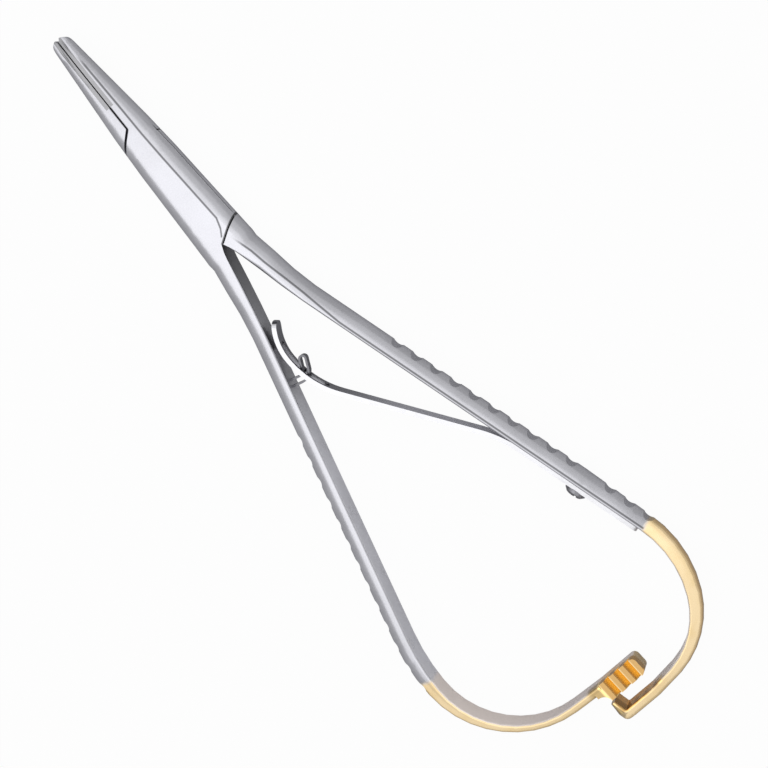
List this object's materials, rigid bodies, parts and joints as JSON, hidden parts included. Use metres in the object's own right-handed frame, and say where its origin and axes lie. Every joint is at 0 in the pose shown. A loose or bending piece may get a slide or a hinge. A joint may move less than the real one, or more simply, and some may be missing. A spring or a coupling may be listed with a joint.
{
  "type": "mathieu pliers",
  "caption": "Mathieu needle pliers: box-jointed steel branches with carbide-faced jaws, notched grips, a leaf spring and a ratchet where the curved tails meet.",
  "frame": {"origin": "pivot axis at the rear face of the box, where the closed pliers rest", "axes": "+Y along the closed jaws to the tip, +X to the handle that carries the leaf spring, +Z from the rear face to the front face"},
  "size_m": [0.0476, 0.1404, 0.0054],
  "materials": {
    "satin_steel": "satin, with a gold-plated tail",
    "satin_steel_tongue": "satin, with a gold-plated tail",
    "pin_steel": "satin",
    "carbide": "cross-hatched",
    "spring_steel": "satin",
    "screw_steel": "turned"
  },
  "bodies": {
    "box_half": {"box_branch": "satin_steel", "pivot_pin": "pin_steel", "right_insert": "carbide", "spring_guide": "screw_steel"},
    "tongue_half": {"tongue_branch": "satin_steel_tongue", "left_insert": "carbide", "leaf_spring": "spring_steel", "spring_screw": "screw_steel"}
  },
  "joints": [
    {"name": "box_joint", "type": "hinge", "parent": "box_half", "child": "tongue_half", "pos_m": [0, 0, 0.0027], "axis": [0, 0, 1], "range_deg": [0, 12], "deforming": ["leaf_spring"]}
  ]
}
